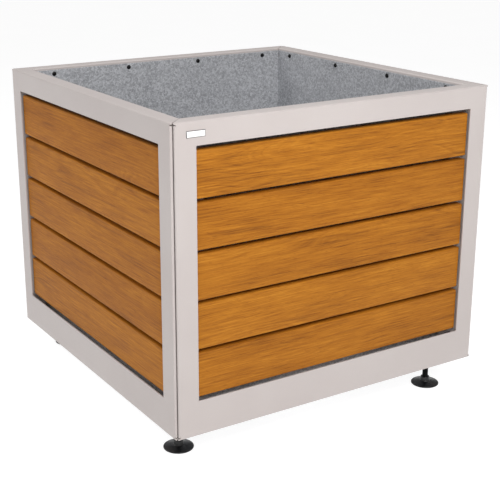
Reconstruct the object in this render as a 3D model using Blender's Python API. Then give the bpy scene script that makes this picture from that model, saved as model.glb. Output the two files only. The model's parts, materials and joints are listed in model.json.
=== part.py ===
"""Square street planter: four folded steel frames filled with hardwood slats round a
galvanised liner, standing on four screw-adjusted levelling feet.

Metres, +Z up. The origin is the centre of the base on the ground. The front is -Y.
Every side is designed once in its own coordinates: u runs to the right as seen from
outside, d is the depth inward from the outer face, and z is the height. A side is then
turned about Z by a quarter turn for each of the four sides.
"""
import math

import bmesh
import bpy
from mathutils import Matrix, Vector

# Overall size
WIDTH = 0.700                 # outside width and depth of the square body
BODY_HEIGHT = 0.566           # height of the folded frames
GROUND_CLEARANCE = 0.059      # underside of the frames above the ground
HALF = WIDTH / 2
BOTTOM = GROUND_CLEARANCE
TOP = BOTTOM + BODY_HEIGHT
GAP = 0.0003                  # clearance between touching pieces

# Folded steel frames
SHEET = 0.0025                # sheet thickness
FOLD = 0.003                  # outside radius of every fold
STILE = 0.046                 # width of the upright bands beside the window
TOP_RAIL = 0.0415
BOTTOM_RAIL = 0.067
RIM = 0.034                   # width of the rim on top
LIP = 0.025                   # depth of the rim's turned-down inner lip
FOOT_FLANGE = 0.030           # width of the flange under the body
SEAM = 0.0007                 # half the gap between two frames at a corner
MITRE = 0.00025               # half the hairline gap between two rims
CORNER_FLANGE = 0.018         # length of the 45 degree flange along the mitre
CORNER_NOTCH = 0.0045         # how far the rim's fold stops short of the corner
WINDOW_HALF = HALF - STILE
WINDOW_LOW = BOTTOM + BOTTOM_RAIL
WINDOW_HIGH = TOP - TOP_RAIL

# Hardwood slats and the rails that carry them
SLATS_PER_SIDE = 5
SLAT_HEIGHT = 0.0835
SLAT_THICK = 0.018
SLAT_EASE = 0.003             # radius of the eased long edges
SLAT_RECESS = 0.005           # slat face behind the frame face
SLAT_DROP = 0.002             # how much lower than centred the slats sit in the window
SLAT_END_GAP = 0.004
RAIL_THICK = 0.002
RAIL_OVERLAP = 0.010          # the rails pass behind the frame above and below the window
RAIL_SETBACK = 0.004          # web of the rail beyond the window's upright edge
RAIL_FOOT = 0.017             # flange against the back of the stile
RAIL_SEAT = 0.031             # flange behind the slat ends

# Galvanised liner
LINER_SHEET = 0.0015
LINER_DROP = 0.005            # top edge of the liner below the rim
LINER_SKIRT = 0.035           # left and right walls reach this far below the tray
BEARER_HEIGHT = 0.045
BEARER_WIDTH = 0.040
BEARER_SHEET = 0.0025
BEARER_OFFSET = 0.150
BEARER_END = 0.006
TRAY_UPSTAND = 0.020
DRAIN_RADIUS = 0.009
DRAIN_PITCH = 0.200
CORNER_BITE = 0.0035          # relief hole at the top corners of the side walls
CORNER_BITE_DROP = 0.013

# Levelling feet, one under the right-hand end of every side
FOOT_DEPTH = 0.0475           # stud axis behind the face of its own side
FOOT_INSET = 0.0795           # stud axis from the corner along that side
PLATE_THICK = 0.005
PLATE_REACH = 0.112
PLATE_CLIP = 0.0367
PLATE_INNER = 0.060
STUD_RADIUS = 0.0059
STUD_TOP = 0.090
STUD_END = 0.0065
STUD_CHAMFER = 0.001
HOLE_RADIUS = 0.0063
NUT_HALF_FLATS = 0.0095
WELD_NUT_HEIGHT = 0.010
LOCK_NUT_HEIGHT = 0.007
PAD_RADIUS = 0.0285
PAD_RIM = 0.003
PAD_SHOULDER = 0.0065         # top of the pad's flat cone, at the foot of its hub
HUB_RADIUS = 0.009
HUB_TOP = 0.016
SOCKET_FLOOR = 0.006

# Blank plate on the front top rail
NAMEPLATE_LEFT = 0.027        # from the left edge of the front
NAMEPLATE_DROP = 0.0155       # from the top edge
NAMEPLATE_SIZE = (0.036, 0.0115)
NAMEPLATE_THICK = 0.0008

SIDES = ("front", "right", "back", "left")
CORNERS = ("front_right", "back_right", "back_left", "front_left")


def clear_scene():
    for obj in list(bpy.data.objects):
        bpy.data.objects.remove(obj, do_unlink=True)


def finish(name, colour, roughness, metallic=0.0):
    """A Principled material of one colour."""
    material = bpy.data.materials.new(name)
    material.use_nodes = True
    shader = material.node_tree.nodes["Principled BSDF"]
    shader.inputs["Base Color"].default_value = (*colour, 1.0)
    shader.inputs["Roughness"].default_value = roughness
    shader.inputs["Metallic"].default_value = metallic
    return material


def turn_to_side(index):
    return Matrix.Rotation(index * math.pi / 2, 4, "Z")


def add_object(name, bm, material, side=0, thickness=None):
    """Put a bmesh in the scene on one side; a thickness makes a surface into sheet metal."""
    mesh = bpy.data.meshes.new(name)
    bm.to_mesh(mesh)
    bm.free()
    mesh.materials.append(material)
    obj = bpy.data.objects.new(name, mesh)
    bpy.context.collection.objects.link(obj)
    obj.matrix_world = turn_to_side(side)
    if thickness is not None:
        modifier = obj.modifiers.new("sheet", "SOLIDIFY")
        modifier.thickness = thickness
        modifier.offset = -1.0
        modifier.use_even_offset = True
    mesh.shade_smooth()
    mesh.set_sharp_from_angle(angle=math.radians(30))
    return obj


def side_point(u, d, z):
    """Side coordinates to the front side's place in the world."""
    return Vector((u, d - HALF, z))


def arc(centre, radius, start, sweep, steps):
    """Points on an arc after its first point, angles in degrees."""
    points = []
    for step in range(1, steps + 1):
        angle = math.radians(start + sweep * step / steps)
        points.append((centre[0] + radius * math.cos(angle), centre[1] + radius * math.sin(angle)))
    return points


def surface(faces, outward):
    """Join polygons into one surface whose first face looks along outward."""
    bm = bmesh.new()
    made = {}
    for polygon in faces:
        corners = []
        for point in polygon:
            key = tuple(round(value, 6) for value in point)
            if key not in made:
                made[key] = bm.verts.new(point)
            corners.append(made[key])
        bm.faces.new(corners)
    bmesh.ops.recalc_face_normals(bm, faces=bm.faces)
    bm.faces.ensure_lookup_table()
    bm.normal_update()
    if bm.faces[0].normal.dot(Vector(outward)) < 0:
        bmesh.ops.reverse_faces(bm, faces=bm.faces)
    return bm


def rows_to_quads(rows):
    """Quads between neighbouring rows of two points each."""
    quads = []
    for (a, b), (c, d) in zip(rows, rows[1:]):
        quads.append((a, b, d, c))
    return quads


def prism(outline, low, high, place):
    """Extrude a closed 2-D outline between two heights; place maps (a, b, h) to a point."""
    bm = bmesh.new()
    bottom = [bm.verts.new(place(a, b, low)) for a, b in outline]
    top = [bm.verts.new(place(a, b, high)) for a, b in outline]
    bm.faces.new(bottom)
    bm.faces.new(top)
    count = len(outline)
    for i in range(count):
        j = (i + 1) % count
        bm.faces.new((bottom[i], bottom[j], top[j], top[i]))
    bmesh.ops.recalc_face_normals(bm, faces=bm.faces)
    return bm


def lathe(profile, segments, centre):
    """Turn an open profile of (radius, height) that starts and ends on the axis."""
    bm = bmesh.new()
    loops = []
    for radius, height in profile:
        if radius == 0:
            loops.append([bm.verts.new((centre[0], centre[1], height))])
            continue
        ring = []
        for i in range(segments):
            angle = 2 * math.pi * i / segments
            x = centre[0] + radius * math.cos(angle)
            y = centre[1] + radius * math.sin(angle)
            ring.append(bm.verts.new((x, y, height)))
        loops.append(ring)
    for first, second in zip(loops, loops[1:]):
        for i in range(segments):
            j = (i + 1) % segments
            if len(first) == 1:
                bm.faces.new((first[0], second[i], second[j]))
            elif len(second) == 1:
                bm.faces.new((first[i], second[0], first[j]))
            else:
                bm.faces.new((first[i], second[i], second[j], first[j]))
    bmesh.ops.recalc_face_normals(bm, faces=bm.faces)
    return bm


def cut_with_posts(obj, centres, radius, low, high, segments):
    """Drill round holes along Z with hidden cutters and an exact Boolean each."""
    for number, (x, y) in enumerate(centres, 1):
        profile = [(0, low), (radius, low), (radius, high), (0, high)]
        mesh = bpy.data.meshes.new(f"{obj.name}_cutter_{number}")
        bm = lathe(profile, segments, (x, y))
        bm.to_mesh(mesh)
        bm.free()
        cutter = bpy.data.objects.new(mesh.name, mesh)
        bpy.context.collection.objects.link(cutter)
        cutter.hide_render = True
        cutter.display_type = "WIRE"
        modifier = obj.modifiers.new(f"hole_{number}", "BOOLEAN")
        modifier.operation = "DIFFERENCE"
        modifier.solver = "EXACT"
        modifier.object = cutter


def rim_rows():
    """The top fold, the mitred rim and its turned-down lip."""
    path = [(0.0, TOP - FOLD)]
    path += arc((FOLD, TOP - FOLD), FOLD, 180, -90, 5)
    path += [(RIM - FOLD, TOP)]
    path += arc((RIM - FOLD, TOP - FOLD), FOLD, 90, -90, 4)
    path += [(RIM, TOP - LIP)]
    rows = []
    for number, (d, z) in enumerate(path):
        end = HALF - max(d + MITRE, CORNER_NOTCH)
        if number == 0:
            end = face_half()
        rows.append((side_point(-end, d, z), side_point(end, d, z)))
    return rows


def base_rows():
    """The bottom fold and the mitred flange under the body."""
    path = [(0.0, BOTTOM + FOLD)]
    path += arc((FOLD, BOTTOM + FOLD), FOLD, 180, 90, 4)
    path += [(FOOT_FLANGE, BOTTOM)]
    rows = []
    for number, (d, z) in enumerate(path):
        end = HALF - max(d + MITRE, CORNER_NOTCH)
        if number == 0:
            end = face_half()
        rows.append((side_point(-end, d, z), side_point(end, d, z)))
    return rows


def seam_offset():
    """How far, along u, a face plane meets the seam's own plane from the corner."""
    return SEAM * math.sqrt(2)


def face_half():
    """Half width of the flat face, up to where the 135 degree corner folds begin."""
    return HALF - seam_offset() - FOLD / math.tan(math.radians(22.5))


def corner_rows(sign):
    """One upright corner fold of 135 degrees and its flange along the mitre."""
    path = [(face_half(), 0.0)]
    path += arc((face_half(), FOLD), FOLD, -90, 135, 9)
    end_u, end_d = path[-1]
    reach = CORNER_FLANGE / math.sqrt(2)
    path += [(end_u - reach, end_d + reach)]
    rows = []
    for number, (u, d) in enumerate(path):
        inset = FOLD + 0.004 if number == 0 else 0.005
        rows.append((side_point(sign * u, d, BOTTOM + inset), side_point(sign * u, d, TOP - inset)))
    return rows


def frame_faces():
    """Flat face in four bands round the window, which has plain cut edges, then every
    fold and flange."""
    half = face_half()
    low, high = BOTTOM + FOLD, TOP - FOLD
    side_low, side_high = low + 0.004, high - 0.004
    edge = WINDOW_HALF
    top = [(-half, high), (half, high), (half, side_high), (edge, WINDOW_HIGH),
           (-edge, WINDOW_HIGH), (-half, side_high)]
    base = [(-half, low), (half, low), (half, side_low), (edge, WINDOW_LOW),
            (-edge, WINDOW_LOW), (-half, side_low)]
    left = [(-half, side_high), (-half, side_low), (-edge, WINDOW_LOW), (-edge, WINDOW_HIGH)]
    right = [(half, side_high), (half, side_low), (edge, WINDOW_LOW), (edge, WINDOW_HIGH)]
    faces = [[side_point(u, 0, z) for u, z in band] for band in (top, base, left, right)]
    faces += rows_to_quads(rim_rows())
    faces += rows_to_quads(base_rows())
    for sign in (-1, 1):
        faces += rows_to_quads(corner_rows(sign))
    return faces


def make_frames(material):
    for side, name in enumerate(SIDES):
        bm = surface(frame_faces(), (0, -1, 0))
        add_object(f"frame_{name}", bm, material, side, SHEET)


def slat_outline():
    """Section of a slat in (d, z) about its own centre line, with eased long edges."""
    half_thick = SLAT_THICK / 2 - SLAT_EASE
    half_high = SLAT_HEIGHT / 2 - SLAT_EASE
    outline = []
    for quarter, (sd, sz) in enumerate(((1, 1), (-1, 1), (-1, -1), (1, -1))):
        for step in range(4):
            angle = math.radians(90 * quarter + 30 * step)
            d = sd * half_thick + SLAT_EASE * math.cos(angle)
            z = sz * half_high + SLAT_EASE * math.sin(angle)
            outline.append((d, z))
    return outline


def slat_centre(number):
    """Height of a slat's centre: evenly spaced down the window, then dropped a little."""
    spare = WINDOW_HIGH - WINDOW_LOW - SLATS_PER_SIDE * SLAT_HEIGHT
    gap = spare / (SLATS_PER_SIDE + 1)
    first = WINDOW_HIGH - SLAT_DROP - gap - SLAT_HEIGHT / 2
    return first - (number - 1) * (SLAT_HEIGHT + gap)


def make_slats(material):
    length = WINDOW_HALF - SLAT_END_GAP
    depth = SLAT_RECESS + SLAT_THICK / 2
    for side, name in enumerate(SIDES):
        for number in range(1, SLATS_PER_SIDE + 1):
            height = slat_centre(number)
            bm = prism(slat_outline(), -length, length,
                       lambda a, b, h: side_point(h, depth + a, height + b))
            add_object(f"slat_{name}_{number}", bm, material, side)


def make_slat_rails(material):
    """Z-shaped uprights: a flange behind the stile, a web, and a seat behind the slat ends."""
    front = SHEET + GAP
    seat = SLAT_RECESS + SLAT_THICK + GAP
    web = WINDOW_HALF + RAIL_SETBACK
    outline = [(web + RAIL_THICK + RAIL_FOOT, front), (web + RAIL_THICK + RAIL_FOOT, front + RAIL_THICK),
               (web + RAIL_THICK, front + RAIL_THICK), (web + RAIL_THICK, seat + RAIL_THICK),
               (web + RAIL_THICK - RAIL_SEAT, seat + RAIL_THICK), (web + RAIL_THICK - RAIL_SEAT, seat),
               (web, seat), (web, front)]
    for side, name in enumerate(SIDES):
        for sign, end in ((-1, "left"), (1, "right")):
            bm = prism(outline, WINDOW_LOW - RAIL_OVERLAP, WINDOW_HIGH + RAIL_OVERLAP,
                       lambda a, b, h: side_point(sign * a, b, h))
            add_object(f"slat_rail_{name}_{end}", bm, material, side)


def liner_floor_level():
    """Underside of the liner, on top of the bearers."""
    return BOTTOM + SHEET + GAP + BEARER_HEIGHT + GAP


def bitten_wall(half, low, high):
    """A wall outline with a narrow slit and a round relief hole at both top corners."""
    slit = CORNER_BITE / 3
    centre = high - CORNER_BITE_DROP
    start = math.degrees(math.asin(slit / CORNER_BITE))
    right = [(half, low), (half, centre - CORNER_BITE)]
    right += arc((half, centre), CORNER_BITE, 270, -(180 - start), 7)
    right += [(half - slit, high)]
    return right + [(-u, z) for u, z in reversed(right)]


def make_liner(material):
    outer = RIM + GAP
    inner = outer + LINER_SHEET
    low = liner_floor_level()
    high = TOP - LINER_DROP
    for side, name in enumerate(SIDES):
        if name in ("front", "back"):
            half = HALF - inner + LINER_SHEET - GAP
            outline = [(half, low), (half, high), (-half, high), (-half, low)]
        else:
            outline = bitten_wall(HALF - inner - GAP, low - LINER_SKIRT, high)
        bm = prism(outline, outer, inner, lambda a, b, h: side_point(a, h, b))
        add_object(f"liner_wall_{name}", bm, material, side)
    make_liner_tray(material, HALF - inner - GAP, low)


def make_liner_tray(material, half, low):
    """Floor tray inside the walls: four upstands with open corners, and drain holes."""
    fold = LINER_SHEET + 0.001
    flat = half - fold
    floor = [(-flat, -flat, low), (flat, -flat, low), (flat, flat, low), (-flat, flat, low)]
    faces = [floor]
    for side in range(4):
        turn = turn_to_side(side)
        rows = [(Vector((-flat, -flat, low)), Vector((flat, -flat, low)))]
        for y, z in arc((-flat, low + fold), fold, 270, -90, 3):
            rows.append((Vector((-flat, y, z)), Vector((flat, y, z))))
        rows.append((Vector((-flat, -half, low + TRAY_UPSTAND)), Vector((flat, -half, low + TRAY_UPSTAND))))
        faces += rows_to_quads([(turn @ a, turn @ b) for a, b in rows])
    bm = surface(faces, (0, 0, -1))
    tray = add_object("liner_tray", bm, material, 0, LINER_SHEET)
    spots = [(x * DRAIN_PITCH, y * DRAIN_PITCH) for x in (-1, 0, 1) for y in (-1, 0, 1)]
    cut_with_posts(tray, spots, DRAIN_RADIUS, low - 0.01, low + 0.01, 16)


def make_bearers(material):
    """Two channels across the body on the bottom flanges, open side down."""
    low = BOTTOM + SHEET + GAP
    high = low + BEARER_HEIGHT
    half = BEARER_WIDTH / 2
    web = half - BEARER_SHEET
    outline = [(-half, low), (-web, low), (-web, high - BEARER_SHEET), (web, high - BEARER_SHEET),
               (web, low), (half, low), (half, high), (-half, high)]
    end = HALF - BEARER_END
    for sign, name in ((-1, "left"), (1, "right")):
        bm = prism(outline, -end, end, lambda a, b, h: Vector((sign * BEARER_OFFSET + a, h, b)))
        add_object(f"floor_bearer_{name}", bm, material)


def foot_axis(index):
    """Plan position of the stud under the right-hand end of one side."""
    place = turn_to_side(index) @ side_point(HALF - FOOT_INSET, FOOT_DEPTH, 0)
    return place.x, place.y


def make_corner_plates(material):
    """A clipped square plate over both bottom flanges at every corner, drilled for the stud."""
    near = SHEET + 0.0008
    outline = [(PLATE_CLIP, near), (PLATE_REACH, near), (PLATE_REACH, PLATE_INNER),
               (PLATE_INNER, PLATE_REACH), (near, PLATE_REACH), (near, PLATE_CLIP)]
    low = BOTTOM + SHEET + GAP
    for side, name in enumerate(CORNERS):
        turn = turn_to_side(side)
        bm = prism(outline, low, low + PLATE_THICK,
                   lambda a, b, h: turn @ Vector((HALF - a, b - HALF, h)))
        plate = add_object(f"corner_plate_{name}", bm, material)
        cut_with_posts(plate, [foot_axis(side)], HOLE_RADIUS, low - 0.01, low + 0.02, 20)


def make_nut(name, centre, low, height, material):
    """A hexagonal ring: the hexagon's sides and the bore have the same number of points."""
    per_side = 3
    count = 6 * per_side
    bm = bmesh.new()
    rings = []
    for z in (low, low + height):
        for bored in (False, True):
            ring = []
            for i in range(count):
                angle = 2 * math.pi * i / count
                part = angle % (math.pi / 3) - math.pi / 6
                radius = HOLE_RADIUS if bored else NUT_HALF_FLATS / math.cos(part)
                x = centre[0] + radius * math.cos(angle)
                y = centre[1] + radius * math.sin(angle)
                ring.append(bm.verts.new((x, y, z)))
            rings.append(ring)
    low_hex, low_bore, high_hex, high_bore = rings
    for first, second in ((low_hex, high_hex), (high_hex, high_bore), (high_bore, low_bore), (low_bore, low_hex)):
        for i in range(count):
            j = (i + 1) % count
            bm.faces.new((first[i], first[j], second[j], second[i]))
    bmesh.ops.recalc_face_normals(bm, faces=bm.faces)
    add_object(name, bm, material)


def make_feet(steel, dark_steel, plastic):
    plate_low = BOTTOM + SHEET + GAP
    plate_high = plate_low + PLATE_THICK
    pad = [(0, 0), (PAD_RADIUS - 0.0008, 0), (PAD_RADIUS, 0.0008), (PAD_RADIUS, PAD_RIM),
           (PAD_RADIUS - 0.0015, PAD_RIM + 0.001), (HUB_RADIUS + 0.002, PAD_SHOULDER),
           (HUB_RADIUS, PAD_SHOULDER + 0.002),
           (HUB_RADIUS - 0.0008, HUB_TOP), (HOLE_RADIUS, HUB_TOP), (HOLE_RADIUS, SOCKET_FLOOR),
           (0, SOCKET_FLOOR)]
    stud = [(0, STUD_END), (STUD_RADIUS - STUD_CHAMFER, STUD_END), (STUD_RADIUS, STUD_END + STUD_CHAMFER),
            (STUD_RADIUS, STUD_TOP - STUD_CHAMFER), (STUD_RADIUS - STUD_CHAMFER, STUD_TOP), (0, STUD_TOP)]
    for side, name in enumerate(CORNERS):
        centre = foot_axis(side)
        make_nut(f"weld_nut_{name}", centre, plate_high + GAP, WELD_NUT_HEIGHT, steel)
        make_nut(f"lock_nut_{name}", centre, plate_low - GAP - LOCK_NUT_HEIGHT, LOCK_NUT_HEIGHT, dark_steel)
        add_object(f"foot_stud_{name}", lathe(stud, 20, centre), dark_steel)
        add_object(f"foot_pad_{name}", lathe(pad, 28, centre), plastic)


def make_nameplate(material):
    """A thin blank plate with clipped corners, just off the face of the front frame."""
    wide, high = NAMEPLATE_SIZE
    left = NAMEPLATE_LEFT - HALF
    top = TOP - NAMEPLATE_DROP
    clip = 0.001
    outline = [(left + clip, top - high), (left + wide - clip, top - high), (left + wide, top - high + clip),
               (left + wide, top - clip), (left + wide - clip, top), (left + clip, top),
               (left, top - clip), (left, top - high + clip)]
    bm = prism(outline, -GAP - NAMEPLATE_THICK, -GAP, lambda a, b, h: side_point(a, h, b))
    add_object("blank_nameplate", bm, material)


def build():
    clear_scene()
    powder_coat = finish("warm grey powder coat", (0.62, 0.57, 0.555), 0.42)
    hardwood = finish("oiled hardwood", (0.42, 0.18, 0.045), 0.55)
    zinc = finish("galvanised sheet", (0.36, 0.37, 0.39), 0.45, 0.85)
    bright_steel = finish("zinc plated steel", (0.55, 0.56, 0.58), 0.35, 0.9)
    dark_steel = finish("blackened steel", (0.03, 0.03, 0.032), 0.4, 0.6)
    black_plastic = finish("black nylon", (0.012, 0.012, 0.013), 0.5)
    plate_white = finish("white enamel", (0.8, 0.8, 0.8), 0.35)
    make_frames(powder_coat)
    make_slats(hardwood)
    make_slat_rails(powder_coat)
    make_liner(zinc)
    make_bearers(zinc)
    make_corner_plates(bright_steel)
    make_feet(bright_steel, dark_steel, black_plastic)
    make_nameplate(plate_white)


build()
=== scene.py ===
import json
import math

import bmesh
import bpy
import numpy as np
from mathutils import Matrix, Vector

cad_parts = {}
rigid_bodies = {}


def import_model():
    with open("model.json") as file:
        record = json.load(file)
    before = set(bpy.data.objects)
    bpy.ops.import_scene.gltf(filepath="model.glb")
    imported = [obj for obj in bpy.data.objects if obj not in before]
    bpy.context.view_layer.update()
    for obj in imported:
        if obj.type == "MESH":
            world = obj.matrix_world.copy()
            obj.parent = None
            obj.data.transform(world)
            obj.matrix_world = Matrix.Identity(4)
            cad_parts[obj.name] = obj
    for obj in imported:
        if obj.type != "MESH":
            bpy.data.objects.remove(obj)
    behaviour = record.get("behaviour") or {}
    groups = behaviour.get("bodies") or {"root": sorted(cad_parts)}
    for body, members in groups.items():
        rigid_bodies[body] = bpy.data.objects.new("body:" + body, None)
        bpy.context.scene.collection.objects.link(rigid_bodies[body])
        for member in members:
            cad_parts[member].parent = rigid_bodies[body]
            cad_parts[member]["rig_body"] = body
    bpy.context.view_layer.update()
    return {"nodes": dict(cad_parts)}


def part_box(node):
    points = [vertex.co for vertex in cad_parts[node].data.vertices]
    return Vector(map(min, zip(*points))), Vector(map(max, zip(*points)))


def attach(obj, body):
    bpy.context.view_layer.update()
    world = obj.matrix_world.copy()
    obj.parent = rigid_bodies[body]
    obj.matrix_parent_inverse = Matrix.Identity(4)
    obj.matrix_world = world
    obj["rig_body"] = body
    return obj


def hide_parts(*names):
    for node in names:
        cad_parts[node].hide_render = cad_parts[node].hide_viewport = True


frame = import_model()

# Sizes of the planter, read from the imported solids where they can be
SIDES = ("front", "right", "back", "left")
CORNERS = ("front_right", "back_right", "back_left", "front_left")
RIM_LOW, RIM_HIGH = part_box("frame_front")
HALF = -RIM_LOW.y                 # half the outside width
TOP = RIM_HIGH.z                  # top of the rim
BOTTOM = RIM_LOW.z                # underside of the frames
SHEET = 0.0025                    # frame sheet
FOLD = 0.003                      # outside radius of a fold
STILE, TOP_RAIL, BOTTOM_RAIL = 0.046, 0.0415, 0.067
RIM, LIP, FOOT_FLANGE = 0.034, 0.025, 0.030
SEAM, MITRE = 0.0007, 0.00025
CORNER_FLANGE, CORNER_NOTCH = 0.018, 0.0045
CORNER_INSET = 0.005              # the corner folds stop this far short of top and bottom
FACE_INSET = 0.004                # the face's side bands start this far past the level folds
SLATS_PER_SIDE = 5
WINDOW_HALF = HALF - STILE
WINDOW_LOW = BOTTOM + BOTTOM_RAIL
WINDOW_HIGH = TOP - TOP_RAIL
LINER_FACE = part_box("liner_wall_front")[1].y + HALF  # the liner's inside face, in from the frame's
SCREW_DROP = 0.0133               # liner screws below the rim
SCREW_SPACING = 0.178
SCREWS_PER_WALL = 4
LINER_HEAD, SLAT_HEAD = (0.0048, 0.0030), (0.0045, 0.0026)   # radius and height of the heads
HEAD_CROSS = 0.55                 # reach of a head's cross recess, as a share of its radius
THREAD_PITCH = 0.00175
FOLD_STEPS, CORNER_STEPS = 8, 14
BOARD_EDGE, BOARD_END = 0.0028, 0.0016   # eased radius along a board and at its ends
BOARD_STEPS = 25
BOARD_CUP, BOARD_BOW = 0.00025, 0.0004   # how far a board is out of true, at most
SLAT_REACH = 0.0025               # boards run this much closer to the window's uprights
SLAT_SCREW_PLACE = 0.293          # slat screws from the middle of the side
STUD_RADIUS, THREAD_DEPTH = 0.0059, 0.00095
NUT_HALF_FLATS, NUT_BORE = 0.0095, 0.0063
LIFT = 0.0001                     # hairline between a screw head and what it sits on

# The camera: lens and shift, where it stands, and the ways it looks and holds level
LENS, SENSOR = 77.43, 36.0
SHIFT_X, SHIFT_Y = 0.0484, -0.0250
CAMERA_PLACE = (-1.1674, -1.8332, 0.9652)
CAMERA_AHEAD = (0.5027, 0.81099, -0.29932)
CAMERA_RIGHT = (0.8496, -0.52742, -0.00214)

# The studio
FLOOR_HALF, FLOOR_DROP = 25.0, 0.0002
FLOOR_GLOW, WORLD_LIGHT = 0.85, 0.3


# ---------------------------------------------------------------- surfaces

def turned(points, side):
    """Turn points (x, y, z) about Z by a quarter turn for each side after the front."""
    angle = side * math.pi / 2
    c, s = round(math.cos(angle)), round(math.sin(angle))
    spin = np.array([[c, -s, 0], [s, c, 0], [0, 0, 1]], float)
    return points @ spin.T


def sheets_to_mesh(name, sheets, polygons=(), outward=None):
    """Weld grids of points (n, m, 3) and loose polygons into one mesh: each grid cell is a
    quad, and points closer than a micron are one point. The first face looks outward."""
    blocks = [grid.reshape(-1, 3) for grid in sheets] + [np.asarray(p, float) for p in polygons]
    points = np.concatenate(blocks)
    keys, place = np.unique(np.round(points, 6), axis=0, return_inverse=True)
    place = place.reshape(-1)
    faces = []
    start = 0
    for grid in sheets:
        n, m = grid.shape[:2]
        index = place[start:start + n * m].reshape(n, m)
        cells = np.stack([index[:-1, :-1], index[1:, :-1], index[1:, 1:], index[:-1, 1:]], -1)
        faces += cells.reshape(-1, 4).tolist()
        start += n * m
    for polygon in polygons:
        faces.append(place[start:start + len(polygon)].tolist())
        start += len(polygon)
    faces = [list(dict.fromkeys(face)) for face in faces]
    mesh = bpy.data.meshes.new(name)
    mesh.from_pydata(keys.tolist(), [], [face for face in faces if len(face) > 2])
    bm = bmesh.new()
    bm.from_mesh(mesh)
    bmesh.ops.recalc_face_normals(bm, faces=bm.faces)
    if outward is not None:
        bm.faces.ensure_lookup_table()
        bm.normal_update()
        biggest = max(bm.faces, key=lambda face: face.calc_area())
        if biggest.normal.dot(Vector(outward)) < 0:
            bmesh.ops.reverse_faces(bm, faces=bm.faces)
    bm.to_mesh(mesh)
    bm.free()
    return mesh


def place_piece(mesh, body, material, nodes=(), angle=32):
    """Put a mesh in the scene as a piece that rides on a body and stands for CAD nodes."""
    mesh.shade_smooth()
    mesh.set_sharp_from_angle(angle=math.radians(angle))
    mesh.materials.clear()
    mesh.materials.append(material)
    piece = bpy.data.objects.new(mesh.name, mesh)
    bpy.context.scene.collection.objects.link(piece)
    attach(piece, body)
    if nodes:
        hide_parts(*nodes)
    return piece


def soften(piece, width, segments=2, angle=35):
    """Ease the sharp edges of a piece."""
    bevel = piece.modifiers.new("eased edges", "BEVEL")
    bevel.width = width
    bevel.segments = segments
    bevel.limit_method = "ANGLE"
    bevel.angle_limit = math.radians(angle)
    bevel.harden_normals = True
    bevel.use_clamp_overlap = True


def bend(centre, radius, start, sweep, steps):
    """Points (a, b) on an arc: centre plus radius times (cos, sin) of evenly spaced angles."""
    angle = np.radians(start + sweep * np.linspace(0, 1, steps + 1))
    return np.stack([centre[0] + radius * np.cos(angle), centre[1] + radius * np.sin(angle)], -1)


def side_points(u, d, z):
    """Side coordinates (along, inward, up) as points of the front side."""
    u, d, z = np.broadcast_arrays(u, d, z)
    return np.stack([u, d - HALF, z], -1).astype(float)


# ---------------------------------------------------------------- frames

def face_half():
    """Half width of a frame's flat face, up to where its 135 degree corner folds begin."""
    return HALF - SEAM * math.sqrt(2) - FOLD / math.tan(math.radians(22.5))


def level_band(path):
    """Carry a (d, z) path along the side. Its ends follow the mitre, so half its length is
    the half width less the depth, and at least a notch less where the corner folds pass. The
    first row is the edge of the flat face."""
    d, z = path[:, 0], path[:, 1]
    end = HALF - np.maximum(d + MITRE, CORNER_NOTCH)
    end[0] = face_half()
    return side_points(np.stack([-end, end], -1), d[:, None], z[:, None])


def rim_band():
    """Fold of a quarter turn, flat rim, second quarter turn and the lip hanging down."""
    path = np.concatenate([
        bend((FOLD, TOP - FOLD), FOLD, 180, -90, FOLD_STEPS),
        bend((RIM - FOLD, TOP - FOLD), FOLD, 90, -90, FOLD_STEPS),
        [[RIM, TOP - LIP]],
    ])
    return level_band(path)


def base_band():
    """Fold of a quarter turn and the flat flange under the body."""
    fold = bend((FOLD, BOTTOM + FOLD), FOLD, 180, 90, FOLD_STEPS)
    path = np.concatenate([fold, [[FOOT_FLANGE, BOTTOM]]])
    return level_band(path)


def corner_band(sign):
    """Upright fold of 135 degrees, then a flange along the mitre at 45 degrees."""
    path = bend((face_half(), FOLD), FOLD, -90, 135, CORNER_STEPS)
    reach = CORNER_FLANGE / math.sqrt(2)
    path = np.concatenate([path, path[-1:] + [[-reach, reach]]])
    inset = np.full(len(path), CORNER_INSET)
    inset[0] = FOLD + FACE_INSET
    heights = np.stack([BOTTOM + inset, TOP - inset], -1)
    return side_points(sign * path[:, :1], path[:, 1:], heights)


def frame_sheet():
    """All grids and polygons of one frame: the flat face in four bands round the window's
    plain cut edges, then every fold."""
    half = face_half()
    low, high = BOTTOM + FOLD, TOP - FOLD
    inner_low, inner_high = low + FACE_INSET, high - FACE_INSET
    edge, edge_low, edge_high = WINDOW_HALF, WINDOW_LOW, WINDOW_HIGH
    bands = [
        [(-half, high), (half, high), (half, inner_high),
         (edge, edge_high), (-edge, edge_high), (-half, inner_high)],
        [(-half, low), (half, low), (half, inner_low),
         (edge, edge_low), (-edge, edge_low), (-half, inner_low)],
        [(-half, inner_high), (-half, inner_low), (-edge, edge_low), (-edge, edge_high)],
        [(half, inner_high), (half, inner_low), (edge, edge_low), (edge, edge_high)],
    ]
    polygons = [side_points(*np.array([(u, 0.0, z) for u, z in band]).T) for band in bands]
    grids = [rim_band(), base_band(), corner_band(-1), corner_band(1)]
    return grids, polygons


def make_frames(material):
    grids, polygons = frame_sheet()
    for side, name in enumerate(SIDES):
        outward = turned(np.array([0.0, -1.0, 0.0]), side)
        mesh = sheets_to_mesh(f"folded_frame_{name}", [turned(g, side) for g in grids],
                              [turned(p, side) for p in polygons], outward)
        piece = place_piece(mesh, "planter_body", material, [f"frame_{name}"])
        wall = piece.modifiers.new("sheet", "SOLIDIFY")
        wall.thickness = SHEET
        wall.offset = -1.0
        wall.use_even_offset = True
        soften(piece, 0.0003)


# ---------------------------------------------------------------- slats

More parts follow.
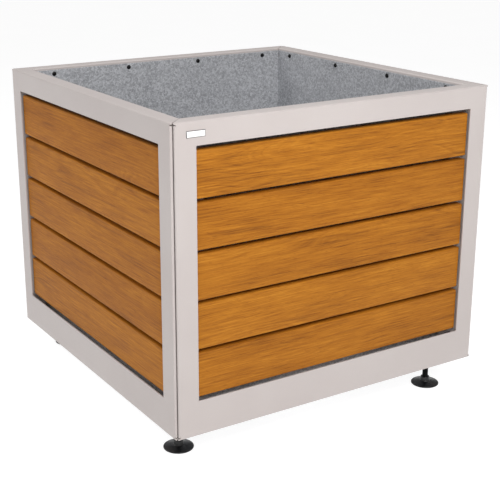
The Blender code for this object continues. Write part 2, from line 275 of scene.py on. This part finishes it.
def board_section(count, thick, high, ease):
    """Rounded rectangle (d, z): four quarter circles of the eased radius joined by flats."""
    corners = [(1, 1, 0), (-1, 1, 90), (-1, -1, 180), (1, -1, 270)]
    loops = [bend((sd * (thick / 2 - ease), sz * (high / 2 - ease)), ease, start, 90, count)
             for sd, sz, start in corners]
    return np.concatenate(loops)


def make_slat(name, node, side, seed, material):
    """A board: its rounded section carried along the length, drawn in by a quarter circle at
    each end. It reaches a little past its CAD solid at both ends. Its timber attribute holds
    the place each point had in the log."""
    rng = np.random.default_rng(seed)
    low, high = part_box(node)
    size = np.array(high - low)
    length = (size[0] if side % 2 == 0 else size[1]) + 2 * SLAT_REACH
    thick = size[1] if side % 2 == 0 else size[0]
    centre = (np.array(low) + np.array(high)) / 2
    tall = size[2]
    turn = np.radians(np.linspace(0, 90, 5))
    straight = length / 2 - BOARD_END
    tips = straight + BOARD_END * np.sin(turn)
    middle = np.linspace(-1, 1, BOARD_STEPS)[1:-1] * straight
    along = np.concatenate([-tips[::-1], middle, tips])
    draw = BOARD_END * (1 - np.cos(turn))
    drawn = np.concatenate([draw[::-1], np.zeros(len(middle)), draw])
    section = board_section(6, thick, tall, BOARD_EDGE)
    direction = np.sign(section) * np.minimum(1, np.abs(section) / (np.array([thick, tall]) / 2) * 1.05)
    cup = BOARD_CUP * rng.uniform(-1, 1)
    bow = BOARD_BOW * rng.uniform(-1, 1)
    d = section[None, :, 0] - drawn[:, None] * direction[None, :, 0]
    z = section[None, :, 1] - drawn[:, None] * direction[None, :, 1]
    d = d + cup * (2 * z / tall) ** 2 + bow * ((2 * along[:, None] / length) ** 2 - 0.4)
    u = np.broadcast_to(along[:, None], d.shape)
    grid = np.stack([u, d, z], -1)
    closed = np.concatenate([grid, grid[:, :1]], 1)
    spot = turned(centre[None], -side)[0]
    placed = turned(closed + spot, side)
    caps = [turned(grid[0] + spot, side), turned(grid[-1] + spot, side)]
    mesh = sheets_to_mesh(name, [placed], caps)
    local = np.zeros(len(mesh.vertices) * 3)
    mesh.vertices.foreach_get("co", local)
    local = turned(local.reshape(-1, 3), -side) - spot
    heart = np.array([rng.uniform(-9, 9), rng.uniform(0.05, 0.16), rng.uniform(-0.10, 0.10)])
    slope = rng.uniform(-0.012, 0.012)
    local[:, 2] += slope * local[:, 0]
    timber = mesh.attributes.new("timber", "FLOAT_VECTOR", "POINT")
    timber.data.foreach_set("vector", (local + heart).ravel())
    tint = mesh.attributes.new("tint", "FLOAT", "POINT")
    tint.data.foreach_set("value", np.full(len(mesh.vertices), rng.uniform(0, 1)))
    place_piece(mesh, "planter_body", material, [node])


def make_slats(material):
    for side, name in enumerate(SIDES):
        for number in range(1, SLATS_PER_SIDE + 1):
            node = f"slat_{name}_{number}"
            make_slat(f"board_{name}_{number}", node, side, 100 * side + number, material)


# ---------------------------------------------------------------- liner, rails and plates

def refined(node, material, width):
    """A CAD solid welded, with its edges eased."""
    source = frame["nodes"][node]
    mesh = source.data.copy()
    mesh.name = f"{node}_eased"
    bm = bmesh.new()
    bm.from_mesh(mesh)
    bmesh.ops.remove_doubles(bm, verts=bm.verts, dist=0.00002)
    bmesh.ops.dissolve_limit(bm, angle_limit=math.radians(1), verts=bm.verts, edges=bm.edges)
    bm.to_mesh(mesh)
    bm.free()
    piece = place_piece(mesh, source["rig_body"], material, [node])
    soften(piece, width)


def screw_head(radius, height, rings=14, spokes=32):
    """Pan head with a cross recess: height falls with the fourth power of the radius, less a
    cross-shaped dip. Points are (x, y, height) on a (radius, angle) grid with a skirt."""
    r = np.linspace(0, 1, rings)[:, None]
    angle = np.linspace(0, 2 * np.pi, spokes + 1)[None, :]
    x, y = r * np.cos(angle), r * np.sin(angle)
    dome = height * (1 - 0.75 * r ** 4)
    arm = np.minimum(np.abs(x), np.abs(y))
    reach = np.maximum(np.abs(x), np.abs(y))
    dip = 0.55 * height * np.clip((0.16 - arm) / 0.08, 0, 1) * np.clip((HEAD_CROSS - reach) / 0.12, 0, 1)
    z = dome - dip
    skirt = np.stack([np.cos(angle[0]), np.sin(angle[0]), np.zeros(spokes + 1)], -1)[None]
    skirt = skirt * [radius, radius, 1]
    grid = np.stack([radius * x, radius * y, z], -1)
    return np.concatenate([grid, skirt, skirt * [0, 0, 1]])


def screws_on_side(name, places, side, head, material):
    """Screw heads at (u, d, z) places on one side, facing inward, each turned at random."""
    rng = np.random.default_rng(side + 7 * len(places))
    grids = []
    for u, d, z in places:
        spin = rng.uniform(0, np.pi)
        c, s = math.cos(spin), math.sin(spin)
        across = head[..., 0] * c - head[..., 1] * s
        up = head[..., 0] * s + head[..., 1] * c
        grids.append(turned(side_points(u + across, d + head[..., 2], z + up), side))
    mesh = sheets_to_mesh(name, grids)
    place_piece(mesh, "planter_body", material, angle=50)


def make_fixings(dark, steel):
    liner_head = screw_head(*LINER_HEAD)
    slat_head = screw_head(*SLAT_HEAD)
    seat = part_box("slat_rail_front_left")[1].y + HALF + LIFT
    spots = (np.arange(SCREWS_PER_WALL) - (SCREWS_PER_WALL - 1) / 2) * SCREW_SPACING
    for side, name in enumerate(SIDES):
        places = [(u, LINER_FACE + LIFT, TOP - SCREW_DROP) for u in spots]
        screws_on_side(f"liner_screws_{name}", places, side, liner_head, dark)
        places = []
        for number in range(1, SLATS_PER_SIDE + 1):
            slat_low, slat_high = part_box(f"slat_{name}_{number}")
            middle = (slat_low.z + slat_high.z) / 2
            places += [(sign * SLAT_SCREW_PLACE, seat, middle) for sign in (-1, 1)]
        screws_on_side(f"slat_screws_{name}", places, side, slat_head, steel)


# ---------------------------------------------------------------- feet

def turn_profile(profile, spokes, centre):
    """Turn a (radius, height) profile about an upright axis."""
    angle = np.linspace(0, 2 * np.pi, spokes + 1)[None, :]
    r, z = profile[:, :1], profile[:, 1:]
    x = centre[0] + r * np.cos(angle)
    y = centre[1] + r * np.sin(angle)
    return np.stack([x, y, np.broadcast_to(z, x.shape)], -1)


def thread(low, high, outer, depth, centre, spokes=28, per_pitch=8):
    """Screw thread: the radius is the crest less the depth times a flattened triangle wave of
    height over pitch minus angle over one turn, and fades out at both ends."""
    count = int((high - low) / THREAD_PITCH * per_pitch) + 1
    z = np.linspace(low, high, count)[:, None]
    angle = np.linspace(0, 2 * np.pi, spokes + 1)[None, :]
    phase = (z - low) / THREAD_PITCH - angle / (2 * np.pi)
    wave = np.abs(2 * (phase - np.floor(phase)) - 1)
    cut = np.clip(1.3 * wave - 0.15, 0, 1)
    end = np.clip(np.minimum(z - low, high - z) / 0.0013, 0, 1)
    r = (outer - depth) + depth * (1 - cut) * end
    grid = np.stack([centre[0] + r * np.cos(angle), centre[1] + r * np.sin(angle),
                     np.broadcast_to(z, r.shape)], -1)
    tips = [grid[:1].copy(), grid[-1:].copy()]
    for tip in tips:
        tip[..., :2] = centre
    return np.concatenate([tips[0], grid, tips[1]])


def pad_profile():
    """Levelling pad: flat base, rounded rim, nearly flat disc, narrow hub and blind socket."""
    rim = bend((0.0270, 0.0015), 0.0015, -90, 180, 8)
    return np.concatenate([
        [[0.0, 0.0004], [0.0225, 0.0004], [0.0235, 0.0]],
        rim,
        [[0.0262, 0.0031], [0.0255, 0.0036], [0.0130, 0.0056]],
        bend((0.0120, 0.0088), 0.0030, -80, -100, 6),
        bend((0.0078, 0.0148), 0.0012, 0, 90, 5),
        [[0.0066, 0.0160], [0.0064, 0.0157], [0.0064, 0.0061], [0.0, 0.0061]],
    ])


def nut_grid(low, high, half_flats, bore, centre, spokes=48):
    """Hexagon nut: the radius is half the flats over the cosine of the angle from each flat's
    middle, cut to a cone at both ends, with a chamfered bore."""
    angle = np.linspace(0, 2 * np.pi, spokes + 1)
    part = angle % (math.pi / 3) - math.pi / 6
    hexagon = half_flats / np.cos(part)
    drop = np.maximum(hexagon - half_flats, 0) * 0.5
    rows = [
        (np.full_like(angle, bore), np.full_like(angle, low + 0.0006)),
        (np.full_like(angle, bore + 0.0007), np.full_like(angle, low)),
        (np.minimum(hexagon, half_flats), np.full_like(angle, low)),
        (hexagon, low + drop),
        (hexagon, high - drop),
        (np.minimum(hexagon, half_flats), np.full_like(angle, high)),
        (np.full_like(angle, bore + 0.0007), np.full_like(angle, high)),
        (np.full_like(angle, bore), np.full_like(angle, high - 0.0006)),
        (np.full_like(angle, bore), np.full_like(angle, low + 0.0006)),
    ]
    r = np.stack([row[0] for row in rows])
    z = np.stack([row[1] for row in rows])
    return np.stack([centre[0] + r * np.cos(angle), centre[1] + r * np.sin(angle), z], -1)


def make_feet(steel, black_steel, nylon):
    for name in CORNERS:
        low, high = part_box(f"foot_stud_{name}")
        centre = ((low.x + high.x) / 2, (low.y + high.y) / 2)
        grid = thread(low.z, high.z, STUD_RADIUS, THREAD_DEPTH, centre)
        mesh = sheets_to_mesh(f"threaded_stud_{name}", [grid])
        place_piece(mesh, f"stud_{name}", black_steel, [f"foot_stud_{name}"], 60)
        grid = turn_profile(pad_profile(), 56, centre)
        mesh = sheets_to_mesh(f"moulded_pad_{name}", [grid])
        place_piece(mesh, f"pad_{name}", nylon, [f"foot_pad_{name}"], 40)
        for kind, finish in (("weld_nut", steel), ("lock_nut", black_steel)):
            low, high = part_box(f"{kind}_{name}")
            grid = nut_grid(low.z, high.z, NUT_HALF_FLATS, NUT_BORE, centre)
            mesh = sheets_to_mesh(f"chamfered_{kind}_{name}", [grid])
            place_piece(mesh, "planter_body", finish, [f"{kind}_{name}"], 30)


# ---------------------------------------------------------------- plate

def plate_grid(wide, high, thick, corner, ease, place):
    """A small plate with round corners: a rounded rectangle drawn in by a quarter circle at
    the front edge. place maps (across, up, out) to world points."""
    loops = [bend((sx * (wide / 2 - corner), sz * (high / 2 - corner)), corner, start, 90, 6)
             for sx, sz, start in ((1, 1, 0), (-1, 1, 90), (-1, -1, 180), (1, -1, 270))]
    outline = np.concatenate(loops)
    outline = np.concatenate([outline, outline[:1]])
    turn = np.radians(np.linspace(0, 90, 5))[:, None, None]
    shrink = 1 - (ease * (1 - np.cos(turn))) / np.array([wide / 2, high / 2])
    rows = outline[None] * shrink
    out = np.broadcast_to(thick - ease + ease * np.sin(turn[..., 0]), rows.shape[:2])
    rows = np.concatenate([outline[None], rows])
    out = np.concatenate([np.zeros((1, len(outline))), out])
    return place(rows[..., 0], rows[..., 1], out)


def make_nameplate(dark, white):
    low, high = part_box("blank_nameplate")
    middle_x, middle_z = (low.x + high.x) / 2, (low.z + high.z) / 2
    wide, tall = high.x - low.x, high.z - low.z

    def on_plate(level):
        return lambda a, b, out: np.stack([middle_x + a, level - out, middle_z + b], -1)

    base = plate_grid(wide, tall, 0.0006, 0.0008, 0.0002, on_plate(high.y))
    mesh = sheets_to_mesh("nameplate_base", [base], [base[0][:-1], base[-1][:-1]])
    place_piece(mesh, "planter_body", dark, ["blank_nameplate"])
    face = plate_grid(wide - 0.0016, tall - 0.0016, 0.0002, 0.0006, 0.0001, on_plate(high.y - 0.0006))
    mesh = sheets_to_mesh("nameplate_face", [face], [face[0][:-1], face[-1][:-1]])
    place_piece(mesh, "planter_body", white)


# ---------------------------------------------------------------- finishes

def shade(red, green, blue):
    """A colour given as screen values 0 to 255, as the linear colour that shaders use."""
    value = np.array([red, green, blue], float) / 255
    linear = np.where(value <= 0.04045, value / 12.92, ((value + 0.055) / 1.055) ** 2.4)
    return (*linear.tolist(), 1.0)


class Finish:
    """A material with short ways to add and join its nodes."""

    def __init__(self, name, roughness, metallic=0.0):
        self.material = bpy.data.materials.new(name)
        self.material.use_nodes = True
        self.tree = self.material.node_tree
        self.shader = self.tree.nodes["Principled BSDF"]
        self.shader.inputs["Roughness"].default_value = roughness
        self.shader.inputs["Metallic"].default_value = metallic

    def add(self, kind, **settings):
        node = self.tree.nodes.new(kind)
        for key, value in settings.items():
            setattr(node, key, value)
        return node

    def join(self, source, target):
        self.tree.links.new(source, target)

    def place(self):
        return self.add("ShaderNodeTexCoord").outputs["Object"]

    def attribute(self, name, output):
        return self.add("ShaderNodeAttribute", attribute_name=name).outputs[output]

    def stretched(self, vector, scale):
        node = self.add("ShaderNodeVectorMath", operation="MULTIPLY")
        self.join(vector, node.inputs[0])
        node.inputs[1].default_value = scale
        return node.outputs[0]

    def noise(self, vector, scale, detail=2.0, rough=0.5, distortion=0.0):
        node = self.add("ShaderNodeTexNoise")
        self.join(vector, node.inputs["Vector"])
        node.inputs["Scale"].default_value = scale
        node.inputs["Detail"].default_value = detail
        node.inputs["Roughness"].default_value = rough
        node.inputs["Distortion"].default_value = distortion
        return node.outputs["Fac"]

    def ramp(self, value, stops):
        node = self.add("ShaderNodeValToRGB")
        self.join(value, node.inputs["Fac"])
        elements = node.color_ramp.elements
        while len(elements) < len(stops):
            elements.new(0.5)
        for element, (position, colour) in zip(elements, stops):
            element.position = position
            element.color = colour
        return node.outputs["Color"]

    def maths(self, operation, first, second=None):
        node = self.add("ShaderNodeMath", operation=operation)
        for socket, value in zip(node.inputs, (first, second)):
            if value is None:
                continue
            if isinstance(value, (int, float)):
                socket.default_value = value
            else:
                self.join(value, socket)
        return node.outputs[0]

    def blend(self, amount, first, second, mode="MIX"):
        node = self.add("ShaderNodeMix", data_type="RGBA", blend_type=mode)
        for socket, value in ((node.inputs[0], amount), (node.inputs[6], first), (node.inputs[7], second)):
            if isinstance(value, (int, float, tuple)):
                socket.default_value = value
            else:
                self.join(value, socket)
        return node.outputs[2]

    def spread(self, value, low, high, from_low=0.0, from_high=1.0):
        node = self.add("ShaderNodeMapRange")
        self.join(value, node.inputs["Value"])
        node.inputs["From Min"].default_value = from_low
        node.inputs["From Max"].default_value = from_high
        node.inputs["To Min"].default_value = low
        node.inputs["To Max"].default_value = high
        return node.outputs["Result"]

    def bump(self, height, strength, distance):
        node = self.add("ShaderNodeBump")
        self.join(height, node.inputs["Height"])
        node.inputs["Strength"].default_value = strength
        node.inputs["Distance"].default_value = distance
        self.join(node.outputs["Normal"], self.shader.inputs["Normal"])

    def use(self, output, socket):
        self.join(output, self.shader.inputs[socket])


def powder_coat():
    """Warm light grey powder coat with a fine orange peel."""
    f = Finish("warm grey powder coat", 0.42)
    place = f.place()
    cloud = f.noise(place, 7.0, 3.0)
    speck = f.noise(place, 1500.0, 1.0)
    base = f.ramp(cloud, [(0.3, shade(184, 175, 172)), (0.7, shade(190, 182, 179))])
    dust = f.ramp(speck, [(0.35, shade(170, 160, 157)), (0.65, shade(202, 195, 192))])
    f.use(f.blend(0.22, base, dust), "Base Color")
    peel = f.noise(place, 650.0, 2.0)
    f.use(f.spread(peel, 0.36, 0.50, 0.3, 0.7), "Roughness")
    f.bump(peel, 0.10, 0.0004)
    f.shader.inputs["Specular IOR Level"].default_value = 0.35
    return f.material


def hardwood():
    """Oiled hardwood: growth rings round the log's heart, streaks, fibres and short pores,
    all in the timber coordinates of each board."""
    f = Finish("oiled hardwood", 0.5)
    timber = f.attribute("timber", "Vector")
    tint = f.attribute("tint", "Fac")
    wander = f.add("ShaderNodeTexNoise")
    f.join(f.stretched(timber, (2.2, 9.0, 9.0)), wander.inputs["Vector"])
    wander.inputs["Scale"].default_value = 1.0
    wander.inputs["Detail"].default_value = 2.0
    shift = f.add("ShaderNodeVectorMath", operation="MULTIPLY_ADD")
    f.join(wander.outputs["Color"], shift.inputs[0])
    shift.inputs[1].default_value = (0.0, 0.045, 0.045)
    f.join(timber, shift.inputs[2])
    apart = f.add("ShaderNodeSeparateXYZ")
    f.join(shift.outputs[0], apart.inputs[0])
    square = f.maths("ADD", f.maths("POWER", apart.outputs[1], 2.0), f.maths("POWER", apart.outputs[2], 2.0))
    radius = f.maths("SQRT", square)
    rings = f.add("ShaderNodeTexNoise", noise_dimensions="1D")
    f.join(f.maths("MULTIPLY", radius, 210.0), rings.inputs["W"])
    rings.inputs["Detail"].default_value = 3.0
    rings.inputs["Roughness"].default_value = 0.6
    streak = f.noise(f.stretched(timber, (8.0, 300.0, 300.0)), 1.0, 5.0, 0.65, 0.2)
    cloud = f.noise(f.stretched(timber, (5.0, 26.0, 26.0)), 1.0, 2.0)
    fibre = f.noise(f.stretched(timber, (22.0, 800.0, 800.0)), 1.0, 3.0)
    pore = f.noise(f.stretched(timber, (85.0, 1250.0, 1250.0)), 1.0, 1.0)
    mixed = f.maths("ADD", f.maths("MULTIPLY", rings.outputs["Fac"], 0.24), f.maths("MULTIPLY", streak, 0.50))
    mixed = f.maths("ADD", mixed, f.maths("MULTIPLY", cloud, 0.26))
    base = f.ramp(mixed, [
        (0.38, shade(112, 62, 12)),
        (0.46, shade(154, 92, 19)),
        (0.54, shade(172, 107, 25)),
        (0.63, shade(190, 126, 38)),
    ])
    fibre_colour = f.ramp(fibre, [(0.35, shade(132, 76, 15)), (0.65, shade(200, 134, 42))])
    colour = f.blend(0.34, base, fibre_colour)
    holes = f.ramp(pore, [(0.60, (0, 0, 0, 1)), (0.72, (1, 1, 1, 1))])
    colour = f.blend(f.maths("MULTIPLY", holes, 0.45), colour, shade(112, 58, 16))
    dark_board = f.blend(1.0, colour, (0.90, 0.86, 0.80, 1.0), "MULTIPLY")
    f.use(f.blend(tint, dark_board, colour), "Base Color")
    f.use(f.spread(streak, 0.48, 0.66), "Roughness")
    f.shader.inputs["Specular IOR Level"].default_value = 0.15
    height = f.maths("SUBTRACT", f.maths("MULTIPLY", fibre, 0.5), holes)
    f.bump(height, 0.22, 0.0002)
    return f.material


def galvanised():
    """Hot-dip galvanised sheet: fine angular spangle in two sizes, dulled."""
    f = Finish("galvanised sheet", 0.45, 0.5)
    place = f.place()
    drift = f.add("ShaderNodeTexNoise")
    f.join(place, drift.inputs["Vector"])
    drift.inputs["Scale"].default_value = 120.0
    drift.inputs["Detail"].default_value = 2.0
    shift = f.add("ShaderNodeVectorMath", operation="MULTIPLY_ADD")
    f.join(drift.outputs["Color"], shift.inputs[0])
    shift.inputs[1].default_value = (0.006, 0.006, 0.006)
    f.join(place, shift.inputs[2])
    crystals = []
    for scale in (300.0, 620.0):
        node = f.add("ShaderNodeTexVoronoi")
        f.join(shift.outputs[0], node.inputs["Vector"])
        node.inputs["Scale"].default_value = scale
        apart = f.add("ShaderNodeSeparateColor")
        f.join(node.outputs["Color"], apart.inputs[0])
        crystals.append(apart.outputs[0])
    cloud = f.noise(place, 9.0, 3.0)
    mixed = f.maths("ADD", f.maths("MULTIPLY", crystals[0], 0.5), f.maths("MULTIPLY", crystals[1], 0.3))
    mixed = f.maths("ADD", mixed, f.maths("MULTIPLY", cloud, 0.25))
    f.use(f.ramp(mixed, [(0.25, shade(164, 165, 169)), (0.78, shade(214, 215, 218))]), "Base Color")
    f.use(f.spread(crystals[0], 0.38, 0.58), "Roughness")
    f.bump(mixed, 0.08, 0.0003)
    return f.material


def plated_steel(name, dark, light, roughness, metallic):
    """Plated or blackened steel with fine tooling marks and small stains."""
    f = Finish(name, roughness, metallic)
    place = f.place()
    stain = f.noise(place, 90.0, 4.0, 0.6)
    f.use(f.ramp(stain, [(0.35, shade(*dark)), (0.65, shade(*light))]), "Base Color")
    marks = f.noise(f.stretched(place, (300.0, 300.0, 2200.0)), 1.0, 2.0)
    f.use(f.spread(marks, roughness - 0.07, roughness + 0.10), "Roughness")
    f.bump(marks, 0.06, 0.0002)
    return f.material


def black_nylon():
    """Moulded black nylon with a fine spark-eroded grain."""
    f = Finish("black nylon", 0.4)
    place = f.place()
    grain = f.noise(place, 1400.0, 2.0)
    cloud = f.noise(place, 60.0, 2.0)
    f.use(f.ramp(cloud, [(0.3, shade(9, 9, 10)), (0.7, shade(17, 17, 18))]), "Base Color")
    f.use(f.spread(grain, 0.22, 0.36, 0.3, 0.7), "Roughness")
    f.bump(grain, 0.08, 0.0002)
    return f.material


def enamel(name, dark, light):
    """Smooth enamel with faint clouding."""
    f = Finish(name, 0.3)
    cloud = f.noise(f.place(), 160.0, 3.0)
    f.use(f.ramp(cloud, [(0.3, shade(*dark)), (0.7, shade(*light))]), "Base Color")
    f.use(f.spread(cloud, 0.24, 0.36), "Roughness")
    return f.material


def floor_finish():
    """Plain pale floor with a faint glow of its own."""
    f = Finish("white studio floor", 0.7)
    cloud = f.noise(f.place(), 3.0)
    f.use(f.ramp(cloud, [(0.3, (0.30, 0.30, 0.30, 1)), (0.7, (0.32, 0.32, 0.32, 1))]), "Base Color")
    f.shader.inputs["Emission Color"].default_value = (1, 1, 1, 1)
    f.shader.inputs["Emission Strength"].default_value = FLOOR_GLOW
    return f.material


# ---------------------------------------------------------------- studio

def area_light(name, place, aim, size, power):
    data = bpy.data.lights.new(name, "AREA")
    data.shape = "RECTANGLE"
    data.size, data.size_y = size
    data.energy = power
    lamp = bpy.data.objects.new(name, data)
    bpy.context.scene.collection.objects.link(lamp)
    lamp.location = place
    lamp.rotation_euler = (Vector(aim) - Vector(place)).to_track_quat("-Z", "Y").to_euler()


def make_studio():
    scene = bpy.context.scene
    scene.view_settings.view_transform = "Standard"
    world = bpy.data.worlds.new("studio")
    world.use_nodes = True
    tree = world.node_tree
    background = tree.nodes["Background"]
    background.inputs["Color"].default_value = (1, 1, 1, 1)
    background.inputs["Strength"].default_value = WORLD_LIGHT
    scene.world = world
    mesh = bpy.data.meshes.new("studio_floor")
    corners = [(x * FLOOR_HALF, y * FLOOR_HALF) for x, y in ((-1, -1), (1, -1), (1, 1), (-1, 1))]
    mesh.from_pydata([(x, y, -FLOOR_DROP) for x, y in corners], [], [(0, 1, 2, 3)])
    mesh.materials.append(floor_finish())
    floor = bpy.data.objects.new("studio_floor", mesh)
    scene.collection.objects.link(floor)
    area_light("key", (-0.35, -1.9, 1.75), (-0.05, 0, 0.35), (1.2, 1.0), 34)
    area_light("strip", (-2.2, -2.3, 1.3), (0, 0, 0.40), (0.12, 2.2), 10)
    area_light("back_left", (-2.2, 1.3, 2.0), (0, 0, 0.45), (1.0, 1.0), 19)
    area_light("above", (0.2, 0.6, 2.6), (0, 0, 0.5), (1.6, 1.6), 22)


def make_camera():
    data = bpy.data.cameras.new("camera")
    data.sensor_width = SENSOR
    data.lens = LENS
    data.shift_x = SHIFT_X
    data.shift_y = SHIFT_Y
    camera = bpy.data.objects.new("camera", data)
    bpy.context.scene.collection.objects.link(camera)
    ahead = Vector(CAMERA_AHEAD).normalized()
    right = Vector(CAMERA_RIGHT)
    right = (right - right.dot(ahead) * ahead).normalized()
    up = right.cross(ahead)
    turn = Matrix((right, up, -ahead)).transposed().to_4x4()
    camera.matrix_world = Matrix.Translation(CAMERA_PLACE) @ turn
    bpy.context.scene.camera = camera


# ---------------------------------------------------------------- the planter

def make_planter():
    coat = powder_coat()
    wood = hardwood()
    zinc = galvanised()
    bright = plated_steel("zinc plated steel", (140, 142, 146), (176, 177, 180), 0.36, 0.9)
    black = plated_steel("blackened steel", (14, 14, 15), (32, 31, 31), 0.32, 0.6)
    nylon = black_nylon()
    make_frames(coat)
    make_slats(wood)
    make_fixings(black, bright)
    for side in SIDES:
        refined(f"liner_wall_{side}", zinc, 0.0003)
        for end in ("left", "right"):
            refined(f"slat_rail_{side}_{end}", coat, 0.0004)
    refined("liner_tray", zinc, 0.0003)
    for end in ("left", "right"):
        refined(f"floor_bearer_{end}", zinc, 0.0006)
    for corner in CORNERS:
        refined(f"corner_plate_{corner}", bright, 0.0005)
    make_feet(bright, black, nylon)
    make_nameplate(enamel("dark enamel", (38, 38, 40), (52, 52, 54)),
                   enamel("white enamel", (232, 232, 230), (242, 242, 240)))


make_planter()
make_studio()
make_camera()
